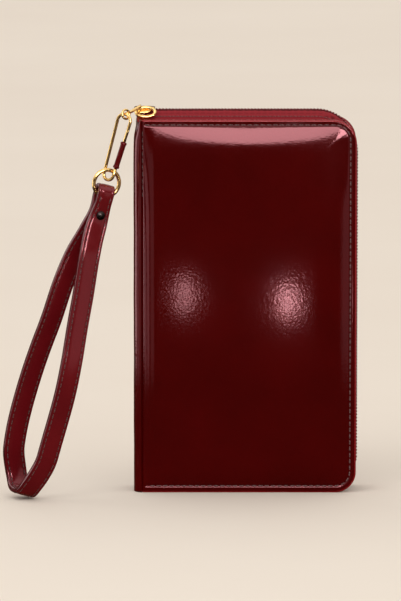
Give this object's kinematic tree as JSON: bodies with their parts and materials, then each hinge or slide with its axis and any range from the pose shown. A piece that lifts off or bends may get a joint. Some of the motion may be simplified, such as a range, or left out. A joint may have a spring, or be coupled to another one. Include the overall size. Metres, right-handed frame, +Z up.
{
  "type": "long wallet",
  "caption": "Long zip-around wallet in glossy leather with card slots, a zipped coin pocket and a wrist strap on a wire clip.",
  "frame": {"origin": "middle of the spine leather's lower edge, on the surface that the wallet stands on", "axes": "+X from the spine to the zipped long side, +Y from the front cover to the back cover, +Z up along the spine"},
  "size_m": [0.1777, 0.0522, 0.1964],
  "materials": {
    "patent_leather": "glossy patent",
    "strap_leather": "glossy patent with painted edges",
    "inner_leather": "smooth satin",
    "lining": "fine woven",
    "zip_tape": "woven",
    "zip_teeth": "dark lacquered",
    "foam": "soft padding",
    "board": "raw",
    "gold_metal": "polished gold plate",
    "rivet": "polished dark"
  },
  "bodies": {
    "spine": {"spine_leather": "patent_leather", "spine_board": "board", "spine_lining": "lining", "coin_wall_front": "lining", "coin_wall_back": "lining", "coin_pocket_edge": "lining", "coin_zip_tape_front": "zip_tape", "coin_zip_tape_back": "zip_tape", "coin_teeth_front": "zip_teeth", "coin_teeth_back": "zip_teeth", "gusset_top_front": "lining", "gusset_top_back": "lining", "gusset_bottom_front": "lining", "gusset_bottom_back": "lining"},
    "front_half": {"front_cover_leather": "patent_leather", "front_padding": "foam", "front_board": "board", "front_lining": "lining", "front_zip_tape": "zip_tape", "front_zip_teeth": "zip_teeth", "front_zip_stop": "gold_metal", "front_card_slot_1": "inner_leather", "front_card_slot_2": "inner_leather", "front_card_slot_3": "inner_leather", "front_card_slot_4": "inner_leather"},
    "back_half": {"back_cover_leather": "patent_leather", "back_padding": "foam", "back_board": "board", "back_lining": "lining", "back_zip_tape": "zip_tape", "back_zip_teeth": "zip_teeth", "back_zip_stop": "gold_metal", "back_card_slot_1": "inner_leather", "back_card_slot_2": "inner_leather", "back_card_slot_3": "inner_leather", "back_card_slot_4": "inner_leather"},
    "slider": {"zip_slider": "gold_metal"},
    "pull": {"zip_pull": "gold_metal"},
    "clip": {"clip_frame": "gold_metal"},
    "clip_gate": {"clip_gate_sleeve": "patent_leather"},
    "ring": {"strap_ring": "gold_metal"},
    "strap": {"strap_loop": "strap_leather", "rivet_cap": "rivet", "rivet_post": "rivet"},
    "coin_slider": {"coin_slider": "gold_metal"},
    "coin_pull": {"coin_pull": "gold_metal"}
  },
  "joints": [
    {"name": "front_cover_hinge", "type": "hinge", "parent": "spine", "child": "front_half", "pos_m": [0.0041, -0.0125, 0], "axis": [0, 0, -1], "range_deg": [0, 30]},
    {"name": "back_cover_hinge", "type": "hinge", "parent": "spine", "child": "back_half", "pos_m": [0.0041, 0.0125, 0], "axis": [0, 0, 1], "range_deg": [0, 30]},
    {"name": "zip_slide", "type": "slide", "parent": "front_half", "child": "slider", "axis": [1, 0, 0], "range_m": [0, 0.08]},
    {"name": "pull_hinge", "type": "hinge", "parent": "slider", "child": "pull", "pos_m": [0.0027, -0.0066, 0.1949], "axis": [-1, 0, 0], "range_deg": [0, 100]},
    {"name": "clip_swing", "type": "hinge", "parent": "pull", "child": "clip", "pos_m": [-0.0042, -0.02, 0.1924], "axis": [0, -1, 0], "range_deg": [-20, 25]},
    {"name": "gate_slide", "type": "slide", "parent": "clip", "child": "clip_gate", "axis": [0.3039, -0.0172, 0.9525], "range_m": [0, 0.007]},
    {"name": "ring_swing", "type": "hinge", "parent": "clip", "child": "ring", "pos_m": [-0.01222, -0.02, 0.1644], "axis": [-0.8924, -0.3777, 0.2469], "range_deg": [0, 25]},
    {"name": "strap_swing", "type": "hinge", "parent": "ring", "child": "strap", "pos_m": [-0.01546, -0.02045, 0.15202], "axis": [-0.8924, -0.3777, 0.2469], "range_deg": [0, 8]},
    {"name": "coin_zip_slide", "type": "slide", "parent": "spine", "child": "coin_slider", "axis": [0, 0, -1], "range_m": [0, 0.145]},
    {"name": "coin_pull_hinge", "type": "hinge", "parent": "coin_slider", "child": "coin_pull", "pos_m": [0.09415, 0, 0.168], "axis": [0, -1, 0], "range_deg": [0, 95]}
  ],
  "couplings": [
    {"joint": "back_cover_hinge", "follows": "front_cover_hinge", "ratio": 1}
  ]
}
